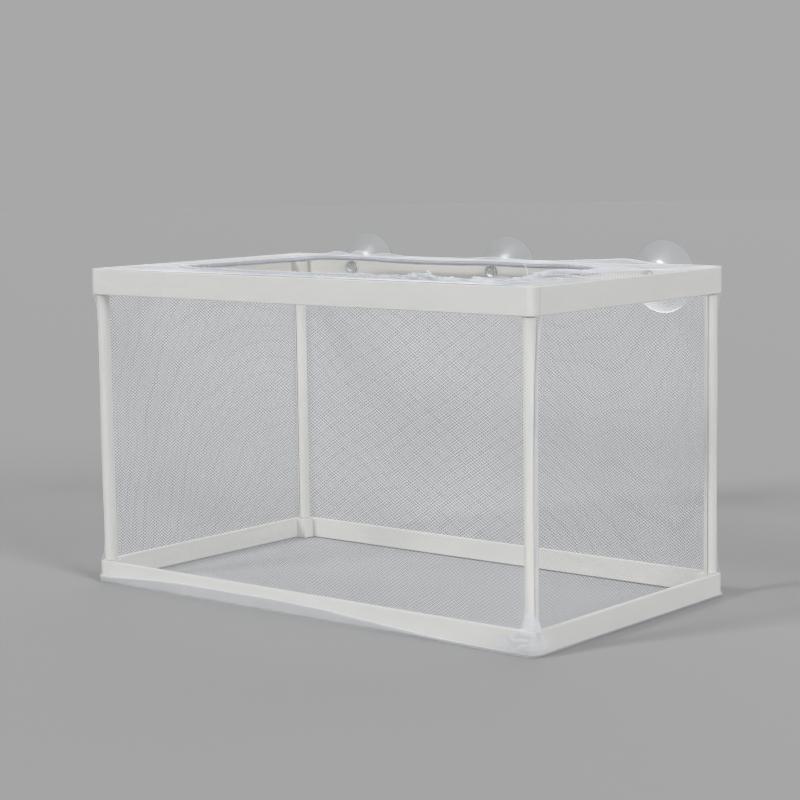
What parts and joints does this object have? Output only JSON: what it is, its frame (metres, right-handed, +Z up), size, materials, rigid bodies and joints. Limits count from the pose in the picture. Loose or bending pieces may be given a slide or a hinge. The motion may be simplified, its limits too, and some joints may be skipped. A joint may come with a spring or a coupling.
{
  "type": "fish breeding box",
  "caption": "Hang-on breeding box: a white plastic rod frame inside a fine net bag with an elastic-gathered mouth, held to the tank wall by clear suction cups.",
  "frame": {"origin": "middle of the net floor's underside, on the surface the box stands on", "axes": "+X along the long side, +Y towards the tank wall and the suction cups, +Z up out of the mouth"},
  "size_m": [0.263, 0.1613, 0.1639],
  "materials": {
    "frame_plastic": "white moulded plastic, satin",
    "net": "white diamond-mesh polyester net",
    "elastic": "white covered elastic cord",
    "seam_thread": "white overlocked seam",
    "clear_vinyl": "clear soft vinyl, glossy"
  },
  "bodies": {
    "frame": {"top_rail_front": "frame_plastic", "top_rail_back": "frame_plastic", "top_rail_left": "frame_plastic", "top_rail_right": "frame_plastic", "bottom_rail_front": "frame_plastic", "bottom_rail_back": "frame_plastic", "bottom_rail_left": "frame_plastic", "bottom_rail_right": "frame_plastic", "top_corner_front_left": "frame_plastic", "top_corner_front_right": "frame_plastic", "top_corner_back_left": "frame_plastic", "top_corner_back_right": "frame_plastic", "bottom_corner_front_left": "frame_plastic", "bottom_corner_front_right": "frame_plastic", "bottom_corner_back_left": "frame_plastic", "bottom_corner_back_right": "frame_plastic", "post_front_left": "frame_plastic", "post_front_right": "frame_plastic", "post_back_left": "frame_plastic", "post_back_right": "frame_plastic", "net_wall_front": "net", "net_wall_back": "net", "net_wall_left": "net", "net_wall_right": "net", "net_floor": "net", "net_collar": "net", "elastic_cord": "elastic", "corner_seam": "seam_thread", "floor_seam": "seam_thread"},
    "suction_cup_left": {"suction_cup_left": "clear_vinyl"},
    "suction_cup_middle": {"suction_cup_middle": "clear_vinyl"},
    "suction_cup_right": {"suction_cup_right": "clear_vinyl"}
  },
  "joints": [
    {"name": "cup_left_swivel", "type": "hinge", "parent": "frame", "child": "suction_cup_left", "pos_m": [-0.091, 0.0744, 0.1464], "axis": [0, 1, 0], "continuous": true},
    {"name": "cup_middle_swivel", "type": "hinge", "parent": "frame", "child": "suction_cup_middle", "pos_m": [0, 0.0744, 0.1464], "axis": [0, 1, 0], "continuous": true},
    {"name": "cup_right_swivel", "type": "hinge", "parent": "frame", "child": "suction_cup_right", "pos_m": [0.091, 0.0744, 0.1464], "axis": [0, 1, 0], "continuous": true}
  ]
}
